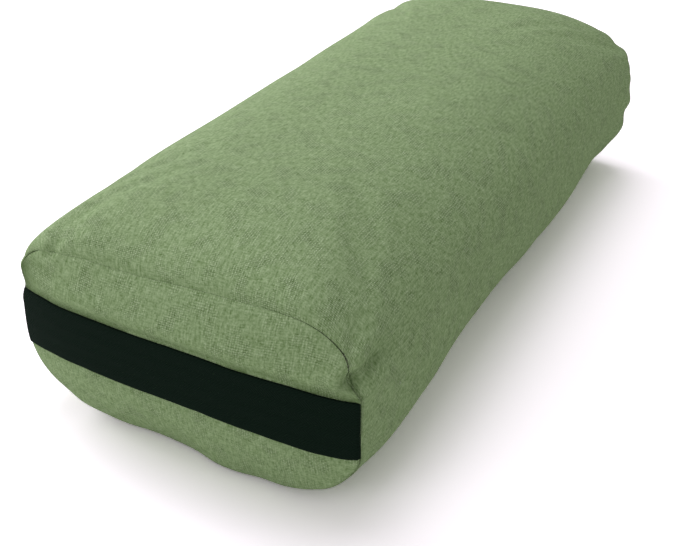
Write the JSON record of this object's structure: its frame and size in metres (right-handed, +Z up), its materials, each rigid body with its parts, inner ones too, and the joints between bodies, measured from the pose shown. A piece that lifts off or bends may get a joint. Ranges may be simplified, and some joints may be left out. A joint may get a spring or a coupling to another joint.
{
  "type": "yoga bolster",
  "caption": "Firm rectangular yoga bolster: a foam core in batting and a liner, inside a zipped sage canvas cover with a flat black webbing handle across one end.",
  "frame": {"origin": "middle of the flat underside, on the surface that the bolster rests on", "axes": "+Z up; Y along the length, with the handle end towards -Y; X across the width, with the zip on the -X side"},
  "size_m": [0.2861, 0.6423, 0.175],
  "materials": {
    "canvas": "plain-woven, slightly slubby sage-green cotton canvas",
    "webbing": "flat black woven webbing",
    "thread": "green sewing thread",
    "zip_tape": "green woven zip tape",
    "zip_coil": "green nylon coil",
    "zip_metal": "dark plated zinc",
    "liner": "unbleached cotton sheeting",
    "batting": "fluffy cotton batting",
    "foam": "dense open-cell foam"
  },
  "bodies": {
    "cushion": {"cover_body_panel": "canvas", "cover_front_panel": "canvas", "cover_rear_panel": "canvas", "carry_handle": "webbing", "front_seam_thread": "thread", "rear_seam_thread": "thread", "zipper_tape_upper": "zip_tape", "zipper_tape_lower": "zip_tape", "zipper_coil_upper": "zip_coil", "zipper_coil_lower": "zip_coil", "zipper_stitch_upper": "thread", "zipper_stitch_lower": "thread", "zipper_top_stop_upper": "zip_metal", "zipper_top_stop_lower": "zip_metal", "zipper_bottom_stop": "zip_metal", "liner_body_panel": "liner", "liner_front_panel": "liner", "liner_rear_panel": "liner", "batting_wrap": "batting", "batting_front_pad": "batting", "batting_rear_pad": "batting", "foam_core": "foam"},
    "zip_slider": {"zipper_slider": "zip_metal"},
    "zip_pull": {"zipper_pull": "zip_metal"}
  },
  "joints": [
    {"name": "zip_slide", "type": "slide", "parent": "cushion", "child": "zip_slider", "axis": [0, -1, 0], "range_m": [0, 0.552]},
    {"name": "zip_pull_swing", "type": "hinge", "parent": "zip_slider", "child": "zip_pull", "pos_m": [-0.1434, 0.2762, 0.0967], "axis": [0, 0, -1], "range_deg": [0, 170]}
  ]
}
